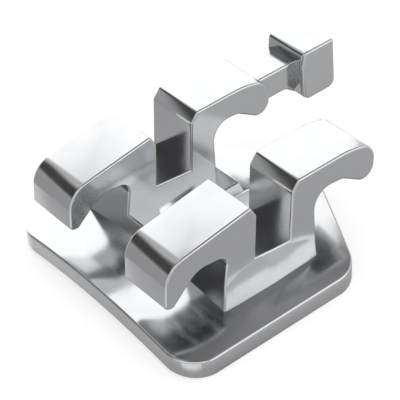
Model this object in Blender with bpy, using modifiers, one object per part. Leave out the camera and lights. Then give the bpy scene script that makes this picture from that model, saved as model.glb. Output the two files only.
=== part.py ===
# Orthodontic twin bracket with a hook, moulded in one piece in stainless steel.
# Sizes are millimetres turned to metres by MM. X runs along the archwire slot, +Y points to
# the hook side and +Z away from the tooth. Heights and widths are first measured from the
# middle of the slot floor, and an empty then stands the bonding pad on Z = 0.

from math import acos, atan2, ceil, cos, pi, radians, sin, sqrt, tan

import bmesh
import bpy
from mathutils import Matrix, Vector

MM = 0.001

# Archwire slot, measured square to its own floor
SLOT_WIDTH = 0.56 * MM
SLOT_TORQUE = radians(5.9)
HOOK_WALL_HEIGHT = 0.715 * MM
DROP_WALL_HEIGHT = 0.635 * MM
LEAD_IN_WIDTH = 0.10 * MM
LEAD_IN_HEIGHT = 0.15 * MM

# Body under the wings
BODY_LENGTH = 2.766 * MM
HOOK_FLANK = 0.65 * MM
DROP_FLANK = 0.725 * MM
FLANK_DRAFT = radians(5.0)
BODY_FOOT = 0.56 * MM
FLARE_ANGLE = radians(5.5)
FLARE_TOP = 0.018 * MM
FLARE_CROWN_RADIUS = 13.0 * MM

# Gap between the two halves, with the scribe line along its floor
GAP_WIDTH = 1.14 * MM
GAP_DEPTH = 0.17 * MM
SCRIBE_WIDTH = 0.20 * MM

# Wings on the hook side, bulged at the end. The far half's, which carries the hook, is set back.
HOOK_WING_REACH = 1.66 * MM
HOOK_WING_SETBACK = 0.05 * MM
HOOK_WING_CREST = 0.953 * MM
HOOK_WING_CREST_SETBACK = 0.41 * MM
HOOK_WING_CREST_RADIUS = 1.0 * MM
HOOK_WING_NOSE = 0.875 * MM
HOOK_WING_NOSE_RADIUS = 0.26 * MM
HOOK_WING_LIP = 0.40 * MM
HOOK_WING_LIP_WIDTH = 0.215 * MM
HOOK_WING_LIP_RADIUS = 0.18 * MM
HOOK_WING_LIP_FILLET = 0.10 * MM
HOOK_WING_UNDER = 0.56 * MM
HOOK_WING_HOLLOW = 0.32 * MM
HOOK_WING_HOLLOW_RADIUS = 0.16 * MM
HOOK_WING_ROOT_RADIUS = 0.27 * MM

# Wings on the other side, curled down at the end. The far half's is set back and curls down less.
DROP_WING_REACH = 1.675 * MM
DROP_WING_SETBACK = 0.02 * MM
DROP_WING_SLOPE = radians(14.5)
DROP_WING_NOSE_RADIUS = 0.33 * MM
DROP_WING_UNDER = 0.238 * MM
DROP_WING_HOLLOW = 0.35 * MM
DROP_WING_HOLLOW_RADIUS = 0.28 * MM
DROP_WING_ROOT_RADIUS = 0.14 * MM
DROP_WING_TIP = 0.15 * MM
DROP_WING_TIP_LIFT = 0.04 * MM
DROP_WING_TIP_WIDTH = 0.13 * MM
DROP_WING_TIP_RADIUS = 0.07 * MM
DROP_WING_TIP_FILLET = 0.05 * MM

# Hook on the wing of the far half, set out from the wing's nose
HOOK_SETBACK = 0.163 * MM
ARM_LENGTH = 0.58 * MM
ARM_WIDTH = 0.54 * MM
ARM_THICKNESS = 0.38 * MM
ARM_DROP = 0.083 * MM
ARM_ROOT = 0.2 * MM
HEAD_LENGTH = 0.58 * MM
HEAD_WIDTH = 0.72 * MM
HEAD_HEIGHT = 0.75 * MM
HEAD_STEP = 0.185 * MM
HEAD_STEP_RADIUS = 0.08 * MM
HEAD_STEP_RUN = 0.03 * MM
HEAD_STEP_CREST_RADIUS = 0.05 * MM
HEAD_STEP_ROOT_RADIUS = 0.06 * MM
HEAD_FOOT_START = 0.14 * MM
HEAD_FOOT_RUN = 0.24 * MM
HEAD_FOOT_RADIUS = 0.12 * MM
HEAD_CORNER_RADIUS = 0.045 * MM

# Bonding pad, arched along X to sit on the tooth
PAD_HALF_LENGTH = 1.89 * MM
PAD_DROP_EDGE = 1.776 * MM
PAD_SHOULDER = 0.923 * MM
PAD_PEAK = 1.84 * MM
PAD_SKEW = radians(1.3)
PAD_CORNER_RADIUS = 0.45 * MM
PAD_PEAK_RADIUS = 0.80 * MM
PAD_THICKNESS = 0.27 * MM
PAD_TOP = 0.40 * MM
PAD_ARCH_RADIUS = 11.1 * MM

# Moulded retention pockets on the bonding side
POCKET_SIZE = 0.26 * MM
POCKET_PITCH = 0.38 * MM
POCKET_DEPTH = 0.05 * MM
POCKET_MARGIN = 0.13 * MM
FIRST_POCKET_ROW = -1.44 * MM

EDGE_BREAK = 0.027 * MM
ARC_STEP = radians(7.5)
PAD_STEPS = 24
FLARE_STEPS = 12
OVERSHOOT = 0.5 * MM
MERGE = 0.00001 * MM

# Ways to lay a flat outline: across the slot, along the slot, or in plan
ACROSS = Matrix(((0, 0, 1), (1, 0, 0), (0, 1, 0))).to_4x4()
ALONG = Matrix.Rotation(pi / 2, 4, "X")
PLAN = Matrix.Identity(4)
TORQUE = Matrix.Rotation(-SLOT_TORQUE, 4, "X")


def turn(corners, index):
    """Angle by which an outline changes direction at one of its corners."""
    before, here, after = (Vector(corners[(index + step) % len(corners)][:2]) for step in (-1, 0, 1))
    return (here - before).angle(after - here)


def rounded(corners, twin=None):
    """Points of an outline given as corners (x, y, radius), with an arc where there is a radius.
    With a twin's corners, the arcs have as many steps as the twin's arcs."""
    points = []
    count = len(corners)
    for index, (x, y, radius) in enumerate(corners):
        corner = Vector((x, y))
        if radius == 0:
            points.append(corner)
            continue
        before = (Vector(corners[index - 1][:2]) - corner).normalized()
        after = (Vector(corners[(index + 1) % count][:2]) - corner).normalized()
        half_angle = acos(before.dot(after)) / 2
        centre = corner + (before + after).normalized() * radius / sin(half_angle)
        first = corner + before * radius / tan(half_angle) - centre
        last = corner + after * radius / tan(half_angle) - centre
        start = atan2(first.y, first.x)
        sweep = (atan2(last.y, last.x) - start + pi) % (2 * pi) - pi
        steps = max(2, ceil(turn(twin or corners, index) / ARC_STEP))
        for step in range(steps + 1):
            angle = start + sweep * step / steps
            points.append(centre + radius * Vector((cos(angle), sin(angle))))
    return points


def arch_height(x, radius):
    """Height of the pad's arched top at x, measured from the slot floor."""
    return -PAD_TOP - radius + sqrt(radius ** 2 - x ** 2)


def add_object(name, mesh, collection):
    shape = bpy.data.objects.new(name, mesh)
    collection.objects.link(shape)
    shape.parent = frame
    if collection is cutters:
        shape.hide_render = True
        shape.display_type = "WIRE"
    return shape


def prism(name, outline, low, high, placing, collection):
    """A closed outline given thickness from low to high along its own Z, then placed."""
    curve = bpy.data.curves.new(name, "CURVE")
    curve.dimensions = "2D"
    curve.fill_mode = "BOTH"
    curve.extrude = (high - low) / 2
    spline = curve.splines.new("POLY")
    spline.points.add(len(outline) - 1)
    for point, (x, y) in zip(spline.points, outline):
        point.co = (x, y, 0, 1)
    spline.use_cyclic_u = True
    flat = bpy.data.objects.new(name, curve)
    parts.objects.link(flat)
    mesh = bpy.data.meshes.new_from_object(flat.evaluated_get(bpy.context.evaluated_depsgraph_get()))
    bpy.data.objects.remove(flat)
    bpy.data.curves.remove(curve)

    form = bmesh.new()
    form.from_mesh(mesh)
    bmesh.ops.remove_doubles(form, verts=form.verts, dist=MERGE)
    lift = Matrix.Translation((0, 0, (low + high) / 2))
    bmesh.ops.transform(form, matrix=placing @ lift, verts=form.verts)
    bmesh.ops.dissolve_limit(form, angle_limit=radians(0.05), verts=form.verts, edges=form.edges)
    bmesh.ops.recalc_face_normals(form, faces=form.faces)
    form.to_mesh(mesh)
    form.free()
    return add_object(name, mesh, collection)


def boolean(shape, operation, other):
    step = shape.modifiers.new(f"{operation.lower()} {other.name}", "BOOLEAN")
    step.operation = operation
    step.solver = "EXACT"
    step.object = other


def break_edges(shape):
    edges = shape.modifiers.new("edge break", "BEVEL")
    edges.width = EDGE_BREAK
    edges.segments = 2
    edges.limit_method = "ANGLE"
    edges.angle_limit = radians(30)


def body_corners(hook_setback, drop_setback, tip_lift):
    """Corners of the section of one half of the body, in the slot's own frame."""
    hook_reach = HOOK_WING_REACH - hook_setback
    drop_reach = DROP_WING_REACH - drop_setback
    drop_tip = tip_lift - DROP_WING_TIP
    half_slot = SLOT_WIDTH / 2
    lead_in = half_slot + LEAD_IN_WIDTH
    drop_lead_in = DROP_WALL_HEIGHT + LEAD_IN_HEIGHT
    drop_shoulder = drop_lead_in - (drop_reach - lead_in) * tan(DROP_WING_SLOPE)
    hook_foot = HOOK_FLANK + (BODY_FOOT + HOOK_WING_UNDER) * tan(FLANK_DRAFT)
    drop_foot = DROP_FLANK + (BODY_FOOT + DROP_WING_UNDER) * tan(FLANK_DRAFT)
    foot_slope = 2 * SLOT_WIDTH * tan(SLOT_TORQUE)
    tip_inside = drop_reach - DROP_WING_TIP_WIDTH
    lip_inside = hook_reach - HOOK_WING_LIP_WIDTH
    return [
        (half_slot, 0, 0),
        (half_slot, HOOK_WALL_HEIGHT, 0),
        (lead_in, HOOK_WALL_HEIGHT + LEAD_IN_HEIGHT, 0),
        (hook_reach - HOOK_WING_CREST_SETBACK, HOOK_WING_CREST, HOOK_WING_CREST_RADIUS),
        (hook_reach, HOOK_WING_NOSE, HOOK_WING_NOSE_RADIUS),
        (hook_reach, HOOK_WING_LIP, HOOK_WING_LIP_RADIUS),
        (lip_inside, HOOK_WING_LIP, HOOK_WING_LIP_FILLET),
        (lip_inside - HOOK_WING_HOLLOW, HOOK_WING_UNDER, HOOK_WING_HOLLOW_RADIUS),
        (HOOK_FLANK, HOOK_WING_UNDER, HOOK_WING_ROOT_RADIUS),
        (hook_foot, foot_slope / 2 - BODY_FOOT, 0),
        (-drop_foot, -foot_slope / 2 - BODY_FOOT, 0),
        (-DROP_FLANK, DROP_WING_UNDER, DROP_WING_ROOT_RADIUS),
        (DROP_WING_HOLLOW - tip_inside, DROP_WING_UNDER, DROP_WING_HOLLOW_RADIUS),
        (-tip_inside, drop_tip, DROP_WING_TIP_FILLET),
        (-drop_reach, drop_tip, DROP_WING_TIP_RADIUS),
        (-drop_reach, drop_shoulder, DROP_WING_NOSE_RADIUS),
        (-lead_in, drop_lead_in, 0),
        (-half_slot, DROP_WALL_HEIGHT, 0),
        (-half_slot, 0, 0),
    ]


def body():
    """Both halves as one run of sections, which change over inside the gap between the halves."""
    near_corners = body_corners(0, 0, 0)
    near = rounded(near_corners)
    far = rounded(body_corners(HOOK_WING_SETBACK, DROP_WING_SETBACK, DROP_WING_TIP_LIFT), near_corners)
    reach = BODY_LENGTH / 2 + OVERSHOOT
    stations = ((-reach, far), (-GAP_WIDTH / 4, far), (GAP_WIDTH / 4, near), (reach, near))
    form = bmesh.new()
    rows = [[form.verts.new((x, *point)) for point in outline] for x, outline in stations]
    for lower, upper in zip(rows, rows[1:]):
        for index in range(len(lower)):
            form.faces.new((lower[index - 1], lower[index], upper[index], upper[index - 1]))
    form.faces.new(rows[0])
    form.faces.new(rows[-1])
    bmesh.ops.remove_doubles(form, verts=form.verts, dist=MERGE)
    bmesh.ops.dissolve_limit(form, angle_limit=radians(0.05), verts=form.verts, edges=form.edges)
    bmesh.ops.recalc_face_normals(form, faces=form.faces)
    bmesh.ops.transform(form, matrix=TORQUE, verts=form.verts)
    mesh = bpy.data.meshes.new("bracket")
    form.to_mesh(mesh)
    form.free()
    return add_object("bracket", mesh, parts)


def side_cutter(name, side):
    """Trims one end of the body: upright above the bend line, flared and crowned below it."""
    slope = tan(FLARE_ANGLE)
    reach = 2 * HOOK_WING_REACH
    form = bmesh.new()
    bmesh.ops.create_grid(form, x_segments=FLARE_STEPS, y_segments=2, size=1)
    for vert in form.verts:
        y = vert.co.x * reach
        crown = y ** 2 / (2 * FLARE_CROWN_RADIUS)
        bend = FLARE_TOP - crown / slope
        if vert.co.y < -0.5:
            z = -reach
            x = BODY_LENGTH / 2 + slope * (bend - z)
        else:
            z = bend if vert.co.y < 0.5 else reach
            x = BODY_LENGTH / 2
        vert.co = (side * x, y, z)
    outward = bmesh.ops.extrude_face_region(form, geom=form.faces[:])["geom"]
    moved = [item for item in outward if isinstance(item, bmesh.types.BMVert)]
    bmesh.ops.translate(form, vec=(side * reach, 0, 0), verts=moved)
    bmesh.ops.dissolve_limit(form, angle_limit=radians(0.05), verts=form.verts, edges=form.edges)
    bmesh.ops.recalc_face_normals(form, faces=form.faces)
    bmesh.ops.transform(form, matrix=TORQUE, verts=form.verts)
    mesh = bpy.data.meshes.new(name)
    form.to_mesh(mesh)
    form.free()
    return add_object(name, mesh, cutters)


def gap_cutter():
    half_gap = GAP_WIDTH / 2
    half_scribe = SCRIBE_WIDTH / 2
    top = 2 * HOOK_WING_CREST
    outline = rounded([
        (-half_gap, top, 0),
        (-half_gap, -GAP_DEPTH, 0),
        (-half_scribe, -GAP_DEPTH, 0),
        (0, -GAP_DEPTH - half_scribe, 0),
        (half_scribe, -GAP_DEPTH, 0),
        (half_gap, -GAP_DEPTH, 0),
        (half_gap, top, 0),
    ])
    reach = HOOK_WING_REACH + OVERSHOOT
    return prism("gap_cutter", outline, -reach, reach, ALONG, cutters)


def hook():
    """Arm and head, as what a plan outline and a side outline have in common."""
    far_side = HOOK_SETBACK - BODY_LENGTH / 2
    nose = HOOK_WING_REACH - HOOK_WING_SETBACK
    root = nose - ARM_ROOT
    head_start = nose + ARM_LENGTH
    head_end = head_start + HEAD_LENGTH
    foot_start = head_start - HEAD_FOOT_START
    arm_top = HOOK_WING_CREST * cos(SLOT_TORQUE) - nose * sin(SLOT_TORQUE) - ARM_DROP
    arm_bottom = arm_top - ARM_THICKNESS
    head_top = arm_top + HEAD_STEP
    head_bottom = head_top - HEAD_HEIGHT
    plan = rounded([
        (far_side, root, 0),
        (far_side + ARM_WIDTH, root, 0),
        (far_side + ARM_WIDTH, head_start, HEAD_STEP_RADIUS),
        (far_side + HEAD_WIDTH, head_start, HEAD_STEP_RADIUS),
        (far_side + HEAD_WIDTH, head_end, HEAD_CORNER_RADIUS),
        (far_side, head_end, HEAD_CORNER_RADIUS),
    ])
    side = rounded([
        (root, arm_bottom, 0),
        (foot_start, arm_bottom, HEAD_FOOT_RADIUS),
        (foot_start + HEAD_FOOT_RUN, head_bottom, HEAD_STEP_RADIUS),
        (head_end, head_bottom, HEAD_FOOT_RADIUS),
        (head_end, head_top, HEAD_CORNER_RADIUS),
        (head_start + HEAD_STEP_RUN, head_top, HEAD_STEP_CREST_RADIUS),
        (head_start, arm_top, HEAD_STEP_ROOT_RADIUS),
        (root, arm_top, 0),
    ])
    shape = prism("hook_plan", plan, head_bottom - OVERSHOOT, head_top + OVERSHOOT, PLAN, cutters)
    height = prism("hook_side", side, -BODY_LENGTH, 0, ACROSS, cutters)
    boolean(shape, "INTERSECT", height)
    break_edges(shape)
    return shape


def pad_corners():
    skew = PAD_HALF_LENGTH * tan(PAD_SKEW)
    return rounded([
        (-PAD_HALF_LENGTH, skew - PAD_DROP_EDGE, PAD_CORNER_RADIUS),
        (PAD_HALF_LENGTH, -skew - PAD_DROP_EDGE, PAD_CORNER_RADIUS),
        (PAD_HALF_LENGTH, PAD_SHOULDER, PAD_CORNER_RADIUS),
        (0, PAD_PEAK, PAD_PEAK_RADIUS),
        (-PAD_HALF_LENGTH, PAD_SHOULDER, PAD_CORNER_RADIUS),
    ])


def pad():
    """Flat plate with its edges broken, cut into strips and bent to the tooth's arch."""
    plate = prism("pad", pad_corners(), -PAD_THICKNESS, 0, PLAN, cutters)
    form = bmesh.new()
    form.from_mesh(plate.data)
    rim = [edge for edge in form.edges if edge.calc_face_angle() > radians(45)]
    bmesh.ops.bevel(form, geom=rim, offset=EDGE_BREAK, segments=2, profile=0.5, affect="EDGES")
    for step in range(1, PAD_STEPS):
        x = PAD_HALF_LENGTH * (2 * step / PAD_STEPS - 1)
        everything = form.verts[:] + form.edges[:] + form.faces[:]
        bmesh.ops.bisect_plane(form, geom=everything, dist=MERGE, plane_co=(x, 0, 0), plane_no=(1, 0, 0))
    for vert in form.verts:
        vert.co.z += arch_height(vert.co.x, PAD_ARCH_RADIUS)
    form.to_mesh(plate.data)
    form.free()
    return plate


def pocket_centres():
    """Centres of the retention pockets that stay clear of the pad's rim."""
    outline = pad_corners()
    rim = list(zip(outline, outline[1:] + outline[:1]))
    half = POCKET_SIZE / 2
    count = int(PAD_PEAK / POCKET_PITCH)
    for row in range(2 * count + 1):
        for column in range(-count, count + 1):
            x = column * POCKET_PITCH
            y = FIRST_POCKET_ROW + row * POCKET_PITCH
            corners = [Vector((x + dx, y + dy)) for dx in (-half, half) for dy in (-half, half)]
            inset = min(
                (end - start).normalized().cross(corner - start)
                for start, end in rim
                for corner in corners
                if (end - start).length > MERGE
            )
            if inset > POCKET_MARGIN:
                yield x, y


def pocket_cutter():
    form = bmesh.new()
    for x, y in pocket_centres():
        roof = arch_height(x, PAD_ARCH_RADIUS) - PAD_THICKNESS + POCKET_DEPTH
        size = Matrix.Diagonal((POCKET_SIZE, POCKET_SIZE, OVERSHOOT, 1))
        place = Matrix.Translation((x, y, roof - OVERSHOOT / 2))
        bmesh.ops.create_cube(form, size=1, matrix=place @ size)
    mesh = bpy.data.meshes.new("pocket_cutter")
    form.to_mesh(mesh)
    form.free()
    return add_object("pocket_cutter", mesh, cutters)


def steel():
    material = bpy.data.materials.new("moulded stainless steel")
    material.use_nodes = True
    shader = material.node_tree.nodes["Principled BSDF"]
    shader.inputs["Base Color"].default_value = (0.60, 0.61, 0.62, 1)
    shader.inputs["Metallic"].default_value = 1
    shader.inputs["Roughness"].default_value = 0.15
    return material


for old in list(bpy.data.objects):
    bpy.data.objects.remove(old)

parts = bpy.data.collections.new("orthodontic_bracket")
cutters = bpy.data.collections.new("cutters")
for group in (parts, cutters):
    bpy.context.scene.collection.children.link(group)

lowest_y = min(point.y for point in pad_corners())
hook_reach = HOOK_WING_REACH - HOOK_WING_SETBACK + ARM_LENGTH + HEAD_LENGTH
rest_height = PAD_THICKNESS - arch_height(PAD_HALF_LENGTH, PAD_ARCH_RADIUS)
frame = bpy.data.objects.new("tooth_frame", None)
frame.location = (0, -(lowest_y + hook_reach) / 2, rest_height)
parts.objects.link(frame)

bracket = body()
for side, end in ((-1, "far"), (1, "near")):
    boolean(bracket, "DIFFERENCE", side_cutter(f"{end}_side_cutter", side))
boolean(bracket, "DIFFERENCE", gap_cutter())
break_edges(bracket)
boolean(bracket, "UNION", hook())
boolean(bracket, "UNION", pad())
boolean(bracket, "DIFFERENCE", pocket_cutter())

bracket.data.materials.append(steel())
bracket.data.shade_smooth()
bracket.data.set_sharp_from_angle(angle=radians(25))
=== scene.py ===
from math import pi, radians, sqrt, tan

import bmesh
import bpy
from mathutils import Matrix, Vector


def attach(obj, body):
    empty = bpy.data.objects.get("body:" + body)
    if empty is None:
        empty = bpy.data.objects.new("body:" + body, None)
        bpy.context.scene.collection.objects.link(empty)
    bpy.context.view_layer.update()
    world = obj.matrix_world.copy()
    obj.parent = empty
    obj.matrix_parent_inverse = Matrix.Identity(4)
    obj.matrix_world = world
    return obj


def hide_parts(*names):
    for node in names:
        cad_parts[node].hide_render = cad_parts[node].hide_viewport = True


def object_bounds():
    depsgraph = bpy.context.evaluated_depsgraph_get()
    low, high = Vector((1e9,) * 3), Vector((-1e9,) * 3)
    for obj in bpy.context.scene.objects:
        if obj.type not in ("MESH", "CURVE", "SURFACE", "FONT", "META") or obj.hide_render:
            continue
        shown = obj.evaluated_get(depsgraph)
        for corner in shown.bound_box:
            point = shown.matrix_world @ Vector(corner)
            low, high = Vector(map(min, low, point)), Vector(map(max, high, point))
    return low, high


# Orthodontic twin bracket with a hook, dressed in polished moulded steel.
# X runs along the archwire slot, +Y points to the hook, +Z away from the tooth.

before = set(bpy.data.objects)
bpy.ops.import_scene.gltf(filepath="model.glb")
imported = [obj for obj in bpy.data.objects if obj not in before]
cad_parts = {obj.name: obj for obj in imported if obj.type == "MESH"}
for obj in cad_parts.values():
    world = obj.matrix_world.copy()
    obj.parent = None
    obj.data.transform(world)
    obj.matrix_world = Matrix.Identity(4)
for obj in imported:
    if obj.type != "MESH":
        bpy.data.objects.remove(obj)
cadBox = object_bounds()
mm = 0.001


# Helpers

def toLinear(hexColor):  # sRGB hex to the linear colour that the nodes take
    out = []
    for start in (1, 3, 5):
        c = int(hexColor[start:start + 2], 16) / 255
        out.append(c / 12.92 if c <= 0.04045 else ((c + 0.055) / 1.055) ** 2.4)
    return (out[0], out[1], out[2], 1.0)


def setInputs(tree, node, inputs):  # each input is linked where it gets a socket, or else given the value
    for name, value in inputs.items():
        if isinstance(value, bpy.types.NodeSocket):
            tree.links.new(value, node.inputs[name])
        else:
            node.inputs[name].default_value = value


def addNode(tree, kind, settings=None, inputs=None):
    node = tree.nodes.new(kind)
    for name, value in (settings or {}).items():
        setattr(node, name, value)
    setInputs(tree, node, inputs or {})
    return node


def addPiece(name, bm):
    mesh = bpy.data.meshes.new(name)
    bm.to_mesh(mesh)
    bm.free()
    piece = bpy.data.objects.new(name, mesh)
    bpy.context.scene.collection.objects.link(piece)
    return piece


def filletedFace(corners, arcs):  # a face from (x, y, radius) corners, rounded in steps of about arcs each
    bm = bmesh.new()
    verts = [bm.verts.new((x, y, 0)) for x, y, radius in corners]
    bm.faces.new(verts)
    count = len(corners)
    for i, (x, y, radius) in enumerate(corners):
        if not radius:
            continue
        here = Vector((x, y))
        back = (Vector(corners[i - 1][:2]) - here).normalized()
        ahead = (Vector(corners[(i + 1) % count][:2]) - here).normalized()
        turn = pi - back.angle(ahead)
        bmesh.ops.bevel(bm, geom=[verts[i]], offset=radius * tan(turn / 2), offset_type="OFFSET",
                        segments=max(3, round(turn / arcs)), profile=0.5, affect="VERTICES", material=-1)
    return bm


def extrudeFace(bm, low, high, place):  # gives the face its thickness along Z, then lays it in place
    bmesh.ops.translate(bm, verts=bm.verts, vec=(0, 0, low))
    grown = bmesh.ops.extrude_face_region(bm, geom=bm.faces[:])["geom"]
    top = [g for g in grown if isinstance(g, bmesh.types.BMVert)]
    bmesh.ops.translate(bm, verts=top, vec=(0, 0, high - low))
    bmesh.ops.transform(bm, matrix=place, verts=bm.verts)
    bmesh.ops.recalc_face_normals(bm, faces=bm.faces)


def cutWith(piece, operation, other):
    step = piece.modifiers.new(operation.lower(), "BOOLEAN")
    step.operation = operation
    step.solver = "EXACT"
    step.object = other


def bake(piece, spares=()):  # turns the piece's modifiers into plain mesh, and clears what they used
    graph = bpy.context.evaluated_depsgraph_get()
    mesh = bpy.data.meshes.new_from_object(piece.evaluated_get(graph))
    piece.modifiers.clear()
    piece.data = mesh
    for spare in spares:
        bpy.data.objects.remove(spare)


softening = {
    "widest": 0.1 * mm,
    "flatWithin": radians(0.1),  # faces that differ by less are one
    "sharpFrom": radians(30),
}


def softenEdges(piece, widthOf, segments, sliver):  # rounds the outward edges, the inner corners stay sharp
    bm = bmesh.new()
    bm.from_mesh(piece.data)
    bmesh.ops.remove_doubles(bm, verts=bm.verts, dist=sliver)  # slivers from the cuts would fold the bevel
    bmesh.ops.dissolve_limit(bm, angle_limit=softening["flatWithin"], verts=bm.verts, edges=bm.edges)
    share = bm.edges.layers.float.new("bevel_weight_edge")
    for edge in bm.edges:
        if edge.calc_face_angle() > softening["sharpFrom"] and edge.is_convex:
            edge[share] = widthOf(edge) / softening["widest"]
    bm.to_mesh(piece.data)
    bm.free()
    step = piece.modifiers.new("soften", "BEVEL")
    step.width = softening["widest"]
    step.segments = segments
    step.limit_method = "WEIGHT"
    step.miter_outer = "MITER_ARC"
    step.use_clamp_overlap = False
    bake(piece)


# Everything is drawn from the middle of the slot's floor, and moved to where the CAD stands at the end

seenAlongX = Matrix(((0, 0, 1), (1, 0, 0), (0, 1, 0))).to_4x4()  # outline's x to Y, y to Z, depth to X
seenAlongY = Matrix.Rotation(pi / 2, 4, "X")
seenAlongZ = Matrix.Identity(4)
far = 3 * mm  # past every side of the bracket, for cutters


# Body and wings

body = {
    "slotWidth": 0.56 * mm,
    "torque": radians(5.9),  # the slot leans to the pad
    "length": 2.766 * mm,
    "spare": 0.5 * mm,  # what the side cutters trim off each end
    "foot": -0.56 * mm,  # where the flanks end, inside the pad
    "draft": radians(5),  # of the flanks, below the wings
    "gap": 1.14 * mm,  # between the two halves
    "gapFloor": -0.17 * mm,
    "scribe": 0.20 * mm,  # width of the line in the gap's floor
    "flare": radians(5.5),
    "flareTop": 0.018 * mm,  # height of the bend where the flare starts
    "flareCrown": 13.0 * mm,  # radius of the flared ends, which bulge a little
    "flareWidth": 4.42 * mm,
    "flareSteps": 8,
    "flareFlat": radians(0.05),
    "leadInWidth": 0.10 * mm,  # chamfer at the slot's mouth
    "leadInHeight": 0.15 * mm,
    "edge": 0.027 * mm,
    "edgeSteps": 4,
    "sliver": 0.0002 * mm,  # points nearer than this are merged before the edges are rounded
    "arcs": radians(4),  # how fine the outline's arcs are drawn
}

hookWing = {  # reaches and the flank are from the slot's middle, heights from its floor
    "wall": 0.715 * mm,
    "flank": 0.65 * mm,
    "reach": 1.66 * mm,
    "farReach": 1.61 * mm,  # on the far half
    "crest": 0.953 * mm,
    "crestBack": 0.41 * mm,  # from the nose
    "crestRadius": 1.0 * mm,
    "nose": 0.875 * mm,
    "noseRadius": 0.26 * mm,
    "lip": 0.40 * mm,
    "lipWidth": 0.215 * mm,
    "lipRadius": 0.18 * mm,
    "lipFillet": 0.10 * mm,
    "under": 0.56 * mm,  # roof of the hollow
    "hollow": 0.32 * mm,  # run of the slope from the lip to that roof
    "hollowRadius": 0.16 * mm,
    "rootRadius": 0.27 * mm,
}

dropWing = {
    "wall": 0.635 * mm,
    "flank": 0.725 * mm,
    "reach": 1.675 * mm,
    "farReach": 1.655 * mm,
    "slope": radians(14.5),
    "noseRadius": 0.33 * mm,
    "tip": -0.15 * mm,
    "farTip": -0.11 * mm,
    "tipWidth": 0.13 * mm,
    "tipRadius": 0.07 * mm,
    "tipFillet": 0.05 * mm,
    "under": 0.238 * mm,
    "hollow": 0.35 * mm,  # where the roof starts, from the inside of the tip
    "hollowRadius": 0.28 * mm,
    "rootRadius": 0.14 * mm,
}


def sectionFace(hookReach, dropReach, dropTip):  # section of one half, in the slot's own frame
    slot = body["slotWidth"] / 2
    leadIn = slot + body["leadInWidth"]
    footLean = body["slotWidth"] * tan(body["torque"])
    hookFoot = hookWing["flank"] + (hookWing["under"] - body["foot"]) * tan(body["draft"])
    dropFoot = dropWing["flank"] + (dropWing["under"] - body["foot"]) * tan(body["draft"])
    lipInside = hookReach - hookWing["lipWidth"]
    tipInside = dropReach - dropWing["tipWidth"]
    dropTop = dropWing["wall"] + body["leadInHeight"]
    return filletedFace([
        (slot, 0, 0),
        (slot, hookWing["wall"], 0),
        (leadIn, hookWing["wall"] + body["leadInHeight"], 0),
        (hookReach - hookWing["crestBack"], hookWing["crest"], hookWing["crestRadius"]),
        (hookReach, hookWing["nose"], hookWing["noseRadius"]),
        (hookReach, hookWing["lip"], hookWing["lipRadius"]),
        (lipInside, hookWing["lip"], hookWing["lipFillet"]),
        (lipInside - hookWing["hollow"], hookWing["under"], hookWing["hollowRadius"]),
        (hookWing["flank"], hookWing["under"], hookWing["rootRadius"]),
        (hookFoot, body["foot"] + footLean, 0),
        (-dropFoot, body["foot"] - footLean, 0),
        (-dropWing["flank"], dropWing["under"], dropWing["rootRadius"]),
        (dropWing["hollow"] - tipInside, dropWing["under"], dropWing["hollowRadius"]),
        (-tipInside, dropTip, dropWing["tipFillet"]),
        (-dropReach, dropTip, dropWing["tipRadius"]),
        (-dropReach, dropTop - (dropReach - leadIn) * tan(dropWing["slope"]), dropWing["noseRadius"]),
        (-leadIn, dropTop, 0),
        (-slot, dropWing["wall"], 0),
        (-slot, 0, 0),
    ], body["arcs"])


def makeBody():
    lean = Matrix.Rotation(-body["torque"], 4, "X") @ seenAlongX
    reach = body["length"] / 2 + body["spare"]
    near = sectionFace(hookWing["reach"], dropWing["reach"], dropWing["tip"])
    extrudeFace(near, 0, reach, lean)
    other = sectionFace(hookWing["farReach"], dropWing["farReach"], dropWing["farTip"])
    extrudeFace(other, -reach, 0, lean)
    piece = addPiece("polished_bracket", near)
    farHalf = addPiece("far_half", other)
    cutters = [makeSideCutter(1), makeSideCutter(-1), makeGapCutter()]
    cutWith(piece, "UNION", farHalf)
    for cutter in cutters:
        cutWith(piece, "DIFFERENCE", cutter)
    bake(piece, [farHalf] + cutters)
    softenEdges(piece, lambda edge: body["edge"], body["edgeSteps"], body["sliver"])
    return piece


def makeSideCutter(side):  # trims an end of the body, upright above the bend and flared below it
    slope = tan(body["flare"])
    bm = bmesh.new()
    bmesh.ops.create_grid(bm, x_segments=body["flareSteps"], y_segments=2, size=1)
    for vert in bm.verts:
        y = vert.co.x * body["flareWidth"] / 2
        bend = body["flareTop"] - y ** 2 / (2 * body["flareCrown"] * slope)
        z = {-1: -far, 0: bend, 1: far}[round(vert.co.y)]  # the grid's three rows
        vert.co = (side * (body["length"] / 2 + slope * max(0, bend - z)), y, z)
    grown = bmesh.ops.extrude_face_region(bm, geom=bm.faces[:])["geom"]
    outer = [g for g in grown if isinstance(g, bmesh.types.BMVert)]
    bmesh.ops.translate(bm, verts=outer, vec=(side * far, 0, 0))
    bmesh.ops.dissolve_limit(bm, angle_limit=body["flareFlat"], verts=bm.verts, edges=bm.edges)
    bmesh.ops.recalc_face_normals(bm, faces=bm.faces)
    bmesh.ops.transform(bm, matrix=Matrix.Rotation(-body["torque"], 4, "X"), verts=bm.verts)
    return addPiece("side_cutter", bm)


def makeGapCutter():  # clears the space between the two halves and cuts the scribe line in its floor
    half, line, floor = body["gap"] / 2, body["scribe"] / 2, body["gapFloor"]
    bm = filletedFace([
        (-half, far, 0),
        (-half, floor, 0),
        (-line, floor, 0),
        (0, floor - line, 0),
        (line, floor, 0),
        (half, floor, 0),
        (half, far, 0),
    ], body["arcs"])
    extrudeFace(bm, -far, far, seenAlongY)
    return addPiece("gap_cutter", bm)


# Hook

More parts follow.
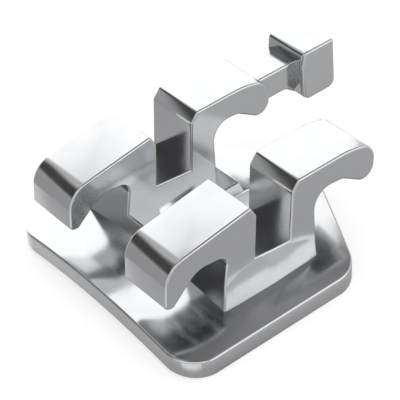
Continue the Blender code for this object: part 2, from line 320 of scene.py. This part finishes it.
hook = {
    "setback": 0.163 * mm,  # of its far side from the body's far end
    "root": 1.41 * mm,  # inside the wing
    "head": 2.19 * mm,
    "end": 2.77 * mm,
    "armWidth": 0.54 * mm,
    "armTop": 0.70 * mm,
    "armBottom": 0.32 * mm,
    "headWidth": 0.72 * mm,
    "headTop": 0.885 * mm,
    "headBottom": 0.135 * mm,
    "stepRun": 0.03 * mm,
    "footStart": 0.14 * mm,  # how far before the head its underside starts to slope
    "footRun": 0.24 * mm,
    "footRadius": 0.12 * mm,
    "footArcs": radians(10),
    "edge": 0.030 * mm,
    "stepEdge": 0.060 * mm,
    "stepZone": 0.04 * mm,  # how near to the step an edge of it lies
    "stepFrom": 0.2 * mm,  # the step's edges are above this height
    "edgeSteps": 5,
    "sliver": 0.002 * mm,
}


def hookEdgeWidth(edge):  # the upright and level edges of the head's step have a wider rounding
    a, b = (vert.co for vert in edge.verts)
    middle = (a + b) / 2
    hair = 0.001 * mm  # closer than this counts as level or upright
    atStep = abs(middle.y - hook["head"]) < hook["stepZone"] and middle.z > hook["stepFrom"]
    straight = abs(a.y - b.y) < hook["stepZone"] and (abs(a.x - b.x) < hair or abs(a.z - b.z) < hair)
    return hook["stepEdge"] if atStep and straight else hook["edge"]


def makeHook():  # what a plan and a side outline have in common; the bevel rounds the step and the corners
    farSide = hook["setback"] - body["length"] / 2
    armSide = farSide + hook["armWidth"]
    headSide = farSide + hook["headWidth"]
    footStart = hook["head"] - hook["footStart"]
    plan = filletedFace([
        (farSide, hook["root"], 0),
        (armSide, hook["root"], 0),
        (armSide, hook["head"], 0),
        (headSide, hook["head"], 0),
        (headSide, hook["end"], 0),
        (farSide, hook["end"], 0),
    ], hook["footArcs"])
    extrudeFace(plan, -far, far, seenAlongZ)
    side = filletedFace([
        (hook["root"], hook["armBottom"], 0),
        (footStart, hook["armBottom"], hook["footRadius"]),
        (footStart + hook["footRun"], hook["headBottom"], 0),
        (hook["end"], hook["headBottom"], hook["footRadius"]),
        (hook["end"], hook["headTop"], 0),
        (hook["head"] + hook["stepRun"], hook["headTop"], 0),
        (hook["head"], hook["armTop"], 0),
        (hook["root"], hook["armTop"], 0),
    ], hook["footArcs"])
    extrudeFace(side, -far, 0, seenAlongX)
    piece = addPiece("hook", plan)
    sidePiece = addPiece("hook_side", side)
    cutWith(piece, "INTERSECT", sidePiece)
    bake(piece, [sidePiece])
    softenEdges(piece, hookEdgeWidth, hook["edgeSteps"], hook["sliver"])
    return piece


# Bonding pad, a plate with a gabled outline that is bent to the tooth's arch

pad = {
    "halfLength": 1.89 * mm,
    "dropEdge": 1.776 * mm,  # the straight edge on the drop wings' side
    "shoulder": 0.923 * mm,
    "peak": 1.84 * mm,
    "skew": radians(1.3),
    "corner": 0.45 * mm,
    "peakRadius": 0.80 * mm,
    "thickness": 0.27 * mm,
    "top": 0.40 * mm,  # below the slot's floor
    "arch": 11.1 * mm,  # radius of the tooth's curve
    "strips": 72,
    "edge": 0.027 * mm,
    "edgeSteps": 4,
}

pockets = {
    "size": 0.26 * mm,
    "pitch": 0.38 * mm,
    "depth": 0.05 * mm,
    "cutterHeight": 0.5 * mm,
    "margin": 0.13 * mm,
    "firstRow": -1.44 * mm,
    "rows": 9,
    "columns": 4,  # on each side of the middle one
}


def archHeight(x):  # of the pad's top
    return -pad["top"] - pad["arch"] + sqrt(pad["arch"] ** 2 - x ** 2)


def makePad():
    half = pad["halfLength"]
    skew = half * tan(pad["skew"])
    bm = filletedFace([
        (-half, skew - pad["dropEdge"], pad["corner"]),
        (half, -skew - pad["dropEdge"], pad["corner"]),
        (half, pad["shoulder"], pad["corner"]),
        (0, pad["peak"], pad["peakRadius"]),
        (-half, pad["shoulder"], pad["corner"]),
    ], body["arcs"])
    extrudeFace(bm, -pad["thickness"], 0, seenAlongZ)
    rim = [edge for edge in bm.edges if edge.calc_face_angle() > softening["sharpFrom"]]
    bmesh.ops.bevel(bm, geom=rim, offset=pad["edge"], segments=pad["edgeSteps"], profile=0.5,
                    affect="EDGES", material=-1)
    for i in range(1, pad["strips"]):
        x = half * (2 * i / pad["strips"] - 1)
        bmesh.ops.bisect_plane(bm, geom=bm.verts[:] + bm.edges[:] + bm.faces[:],
                               dist=1e-8, plane_co=(x, 0, 0), plane_no=(1, 0, 0))  # strips to bend by
    for vert in bm.verts:
        vert.co.z += archHeight(vert.co.x)
    return addPiece("pad", bm)


def makePocketCutter():  # shallow square pockets that hold the adhesive, clear of the pad's rim
    half = pockets["size"] / 2
    taper = (pad["peak"] - pad["shoulder"]) / pad["halfLength"]
    size = Matrix.Diagonal((pockets["size"], pockets["size"], pockets["cutterHeight"], 1))
    bm = bmesh.new()
    for row in range(pockets["rows"]):
        for column in range(-pockets["columns"], pockets["columns"] + 1):
            x = column * pockets["pitch"]
            y = pockets["firstRow"] + row * pockets["pitch"]
            ahead = (pad["peak"] - (abs(x) + half) * taper - y - half) / sqrt(1 + taper ** 2)
            if min(ahead, pad["halfLength"] - abs(x) - half) < pockets["margin"]:
                continue
            roof = archHeight(x) - pad["thickness"] + pockets["depth"]
            place = Matrix.Translation((x, y, roof - pockets["cutterHeight"] / 2))
            bmesh.ops.create_cube(bm, size=1, matrix=place @ size)
    return addPiece("pocket_cutter", bm)


# Steel: precipitation-hardened stainless, metal injection moulded, then tumbled and electropolished.
# The eye gets a clear, slightly soft reflection in neutral grey. The tumbling leaves a faint orange peel
# and patches that are a little duller.

steelLook = {
    "color": "#D6D7D9",
    "dullColor": "#CDCED0",
    "roughness": 0.12,
    "dullRoughness": 0.18,
    "patchSize": 0.45 * mm,
    "patchEdge": (0.3, 0.7),  # between these levels of the noise the steel goes from dull to clear
    "peelSize": 0.11 * mm,  # real peel is about 0.03 mm, drawn coarser to show
    "peelDepth": 0.00018 * mm,
}


def makeSteel():
    material = bpy.data.materials.new("electropolished_moulded_stainless_steel")
    material.use_nodes = True
    tree = material.node_tree
    place = addNode(tree, "ShaderNodeTexCoord").outputs["Object"]
    patches = addNode(tree, "ShaderNodeTexNoise", None, {
        "Vector": place, "Scale": 1 / steelLook["patchSize"], "Detail": 3.0, "Roughness": 0.55})
    tint = addNode(tree, "ShaderNodeMix", {"data_type": "RGBA"}, {
        "Factor": patches.outputs["Fac"],
        "A": toLinear(steelLook["dullColor"]), "B": toLinear(steelLook["color"])})
    low, high = steelLook["patchEdge"]
    rough = addNode(tree, "ShaderNodeMapRange", None, {
        "Value": patches.outputs["Fac"], "From Min": low, "From Max": high,
        "To Min": steelLook["dullRoughness"], "To Max": steelLook["roughness"]})
    peel = addNode(tree, "ShaderNodeTexNoise", None, {
        "Vector": place, "Scale": 1 / steelLook["peelSize"], "Detail": 1.0})
    ripple = addNode(tree, "ShaderNodeBump", None, {
        "Height": peel.outputs["Fac"], "Distance": steelLook["peelDepth"]})
    setInputs(tree, tree.nodes["Principled BSDF"], {
        "Metallic": 1.0, "Base Color": tint.outputs["Result"],
        "Roughness": rough.outputs["Result"], "Normal": ripple.outputs["Normal"]})
    return material


# Studio: a dim sky over a grey ground and a lighter horizon, with soft panels all round, worked out from
# what the photographed metal reflects. Only the metal's reflections show it, and all else sees plain white.

studio = {
    "sky": 0.17,
    "horizon": 0.72,
    "ground": 0.43,
    "groundFade": (-0.75, -0.35),  # the sine of the elevation, from the ground to the horizon
    "skyFade": (0.45, 0.80),  # and from the horizon to the sky
    # (azimuth, elevation, width, height in degrees, softness, level), each laid over the ones before it
    "panels": [
        (157, 5.5, 70, 111, 0.05, 1.54),
        (-170, 52, 42, 84, 0.25, 0.60),
        (38, 36, 52, 46, 0.25, 1.20),
        (34, 10, 63, 25, 0.12, 1.60),
        (-125, -8, 70, 60, 0.25, 0.40),
        (-132, 33, 74, 42, 0.24, 0.06),
        (-37, 47, 68, 41, 0.27, 1.20),
        (84, 62, 58, 20, 0.15, 0.32),
        (164, -33, 86, 46, 0.30, 0.80),
        (47, -57.5, 32, 21, 0.16, 0.30),
        (-50, -36, 56, 26, 0.20, 1.00),
    ],
}
white = (1, 1, 1, 1)


def softStep(tree, value, low, high):  # 0 below low, 1 above high, smooth between them
    step = addNode(tree, "ShaderNodeMapRange", {"interpolation_type": "SMOOTHSTEP"},
                   {"Value": value, "From Min": low, "From Max": high})
    return step.outputs["Result"]


def addMath(tree, operation, first, second=0.0):
    return addNode(tree, "ShaderNodeMath", {"operation": operation}, {0: first, 1: second}).outputs[0]


def layOver(tree, mask, below, above):  # below where the mask is 0, above where it is 1
    return addNode(tree, "ShaderNodeMix", None, {"Factor": mask, "A": below, "B": above}).outputs["Result"]


def panelMask(tree, direction, azimuth, elevation, width, height, softness):  # 1 on a panel, 0 off it
    turn = Matrix.Rotation(radians(azimuth), 3, "Z") @ Matrix.Rotation(-radians(elevation), 3, "Y")
    facing, side, up = (turn @ Vector(axis) for axis in ((1, 0, 0), (0, 1, 0), (0, 0, 1)))
    ahead, sideways, upwards = [
        addNode(tree, "ShaderNodeVectorMath", {"operation": "DOT_PRODUCT"},
                {0: direction, 1: axis}).outputs["Value"] for axis in (facing, side, up)]
    hair = 0.0001  # keeps the division below from zero
    depth = addMath(tree, "MAXIMUM", ahead, hair)
    mask = addMath(tree, "GREATER_THAN", ahead, hair)
    for offset, size in ((sideways, width), (upwards, height)):
        reach = addMath(tree, "ABSOLUTE", addMath(tree, "DIVIDE", offset, depth))
        edge = tan(radians(size) / 2)
        inside = softStep(tree, reach, edge - softness, edge)
        mask = addMath(tree, "MULTIPLY", mask, addMath(tree, "SUBTRACT", 1.0, inside))
    return mask


def makeWorld():
    world = bpy.data.worlds.new("studio")
    bpy.context.scene.world = world
    world.use_nodes = True
    tree = world.node_tree
    tree.nodes.clear()
    direction = addNode(tree, "ShaderNodeTexCoord").outputs["Generated"]
    height = addNode(tree, "ShaderNodeSeparateXYZ", None, {"Vector": direction}).outputs["Z"]
    aboveGround = softStep(tree, height, *studio["groundFade"])
    level = layOver(tree, aboveGround, studio["ground"], studio["horizon"])
    level = layOver(tree, softStep(tree, height, *studio["skyFade"]), level, studio["sky"])
    for *panel, brightness in studio["panels"]:
        level = layOver(tree, panelMask(tree, direction, *panel), level, brightness)
    seen = addNode(tree, "ShaderNodeBackground", None, {"Color": white, "Strength": level})
    plain = addNode(tree, "ShaderNodeBackground", None, {"Color": white, "Strength": 1.0})
    path = addNode(tree, "ShaderNodeLightPath")
    pick = addNode(tree, "ShaderNodeMixShader", None, {
        "Fac": path.outputs["Is Glossy Ray"],
        1: plain.outputs["Background"], 2: seen.outputs["Background"]})
    addNode(tree, "ShaderNodeOutputWorld", None, {"Surface": pick.outputs["Shader"]})


paper = {
    "size": 200 * mm,
    "matt": (0.5, 0.5, 0.5, 1),  # takes the bracket's shadow
    "glow": 0.60,  # lifts the rest to pure white
}


def makeFloor():  # white paper, which keeps the bracket's soft shadow
    bm = bmesh.new()
    bmesh.ops.create_grid(bm, x_segments=1, y_segments=1, size=paper["size"])
    floor = addPiece("floor", bm)
    material = bpy.data.materials.new("white_paper")
    material.use_nodes = True
    tree = material.node_tree
    tree.nodes.clear()
    matt = addNode(tree, "ShaderNodeBsdfDiffuse", None, {"Color": paper["matt"]})
    glow = addNode(tree, "ShaderNodeEmission", None, {"Color": white, "Strength": paper["glow"]})
    both = addNode(tree, "ShaderNodeAddShader", None, {
        0: matt.outputs["BSDF"], 1: glow.outputs["Emission"]})
    addNode(tree, "ShaderNodeOutputMaterial", None, {"Surface": both.outputs["Shader"]})
    floor.data.materials.append(material)
    floor.visible_glossy = False


# Camera, solved from the photograph's outlines

view = {
    "place": Vector((13.698, -10.400, 14.475)) * mm,
    "azimuth": radians(54.187),
    "elevation": radians(38.947),
    "roll": radians(-5.353),
    "lens": 153.1,
    "sensor": 36,
    "nearest": 1 * mm,
    "farthest": 10000 * mm,
}


def makeCamera():
    camera = bpy.data.objects.new("camera", bpy.data.cameras.new("camera"))
    bpy.context.scene.collection.objects.link(camera)
    camera.data.lens = view["lens"]
    camera.data.sensor_width = view["sensor"]
    camera.data.clip_start = view["nearest"]
    camera.data.clip_end = view["farthest"]
    turn = Matrix.Rotation(view["azimuth"], 4, "Z") @ Matrix.Rotation(pi / 2 - view["elevation"], 4, "X")
    camera.matrix_world = Matrix.Translation(view["place"]) @ turn @ Matrix.Rotation(view["roll"], 4, "Z")
    bpy.context.scene.camera = camera


# Shading: all faces are smooth, and these edges stay sharp in it

sharpness = {
    "edge": radians(28),  # any edge from here on
    "crease": radians(4.5),  # the bend of the flared ends
    "rim": radians(5),  # from a flat face of the body to its rounded edge
    "rimFace": 0.03 * mm * mm,  # larger than a strip of the rounding, smaller than a flat face
    "squareOn": 0.985,  # the normal's part along an axis, for a face that is about square to it
    "padTop": 0.6 * mm,  # what is above it is body or hook
}


def markSharpEdges(piece):
    bm = bmesh.new()
    bm.from_mesh(piece.data)
    for edge in bm.edges:
        angle = edge.calc_face_angle(0)
        strip, wall = sorted(edge.link_faces, key=lambda face: face.calc_area())
        crease = angle > sharpness["crease"] and all(
            abs(face.normal.x) > sharpness["squareOn"] for face in (strip, wall))
        onBody = wall.calc_center_median().z > sharpness["padTop"]
        flat = onBody and max(abs(part) for part in wall.normal) > sharpness["squareOn"]
        narrow = strip.calc_area() < sharpness["rimFace"] < wall.calc_area()
        rim = flat and narrow and angle > sharpness["rim"]
        edge.smooth = angle < sharpness["edge"] and not crease and not rim
    bm.to_mesh(piece.data)
    bm.free()
    for face in piece.data.polygons:
        face.use_smooth = True
    weighted = piece.modifiers.new("flat faces keep their normals", "WEIGHTED_NORMAL")
    weighted.keep_sharp = True
    weighted.weight = 100


# Assembly

bracket = makeBody()
print("body and wings made")
joined = [makeHook(), makePad()]
pocketPiece = makePocketCutter()
for other in joined:
    cutWith(bracket, "UNION", other)
cutWith(bracket, "DIFFERENCE", pocketPiece)
bake(bracket, joined + [pocketPiece])
print("hook, pad and pockets joined")

drawn = [vert.co for vert in bracket.data.vertices]  # the lowest corner of its box goes where the CAD's is
drawnLow = Vector([min(point[i] for point in drawn) for i in range(3)])
bracket.data.transform(Matrix.Translation(Vector(cadBox[0]) - drawnLow))
markSharpEdges(bracket)
bracket.data.materials.clear()
bracket.data.materials.append(makeSteel())
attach(bracket, "root")
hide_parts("bracket")
print("bracket finished:", len(bracket.data.polygons), "faces")

makeWorld()
makeFloor()
makeCamera()
bpy.context.scene.view_settings.view_transform = "Standard"
print("studio ready")
